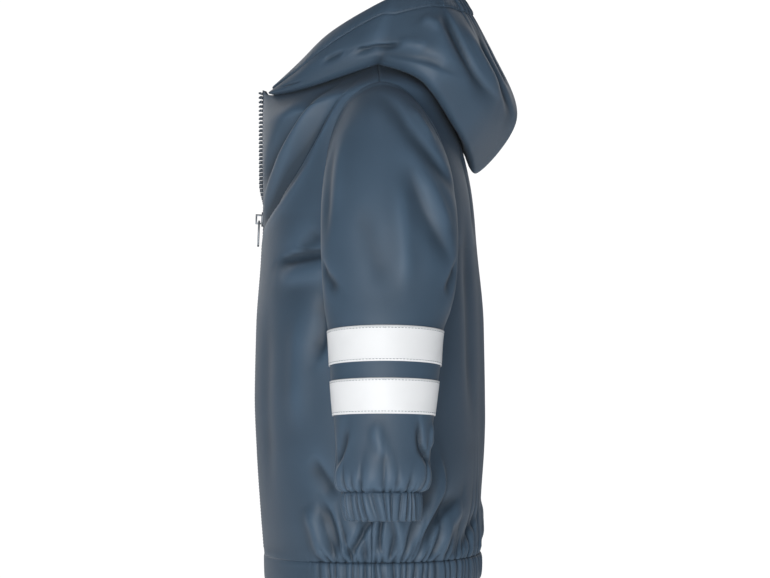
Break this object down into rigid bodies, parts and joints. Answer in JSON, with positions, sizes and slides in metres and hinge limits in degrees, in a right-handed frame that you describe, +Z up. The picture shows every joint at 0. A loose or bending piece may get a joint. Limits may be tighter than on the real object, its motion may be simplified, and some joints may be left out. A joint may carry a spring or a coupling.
{
  "type": "kids raincoat",
  "caption": "Child's coated rain jacket as worn, hood down, front zip half open, gathered hem and cuffs, two reflective bands on each sleeve.",
  "frame": {"origin": "on the shoulder line, in the middle of the neck base, where the wearer's shoulders carry the coat", "axes": "+Z up, the front faces -Y, the wearer's left is +X"},
  "size_m": [0.4626, 0.2364, 0.5274],
  "materials": {
    "shell_cloth": "coated cloth with a soft satin sheen",
    "reflective_tape": "matt white reflective tape",
    "zip_tape": "fine woven tape",
    "zip_teeth": "moulded plastic",
    "zip_metal": "satin grey paint"
  },
  "bodies": {
    "coat": {"front_left": "shell_cloth", "front_right": "shell_cloth", "back": "shell_cloth", "hem_front_left": "shell_cloth", "hem_front_right": "shell_cloth", "hem_back": "shell_cloth", "sleeve_left": "shell_cloth", "sleeve_right": "shell_cloth", "cuff_left": "shell_cloth", "cuff_right": "shell_cloth", "band_left_upper": "reflective_tape", "band_left_lower": "reflective_tape", "band_right_upper": "reflective_tape", "band_right_lower": "reflective_tape", "hood_left": "shell_cloth", "hood_right": "shell_cloth", "hood_casing": "shell_cloth", "zip_tape_left": "zip_tape", "zip_tape_right": "zip_tape", "zip_teeth_left": "zip_teeth", "zip_teeth_right": "zip_teeth", "zip_slider": "zip_metal", "zip_box": "zip_metal"},
    "pull_tab": {"zip_pull_tab": "zip_metal"}
  },
  "joints": [
    {"name": "pull_tab_hinge", "type": "hinge", "parent": "coat", "child": "pull_tab", "pos_m": [0, -0.09977, -0.13505], "axis": [-1, 0, 0], "range_deg": [0, 170]}
  ]
}
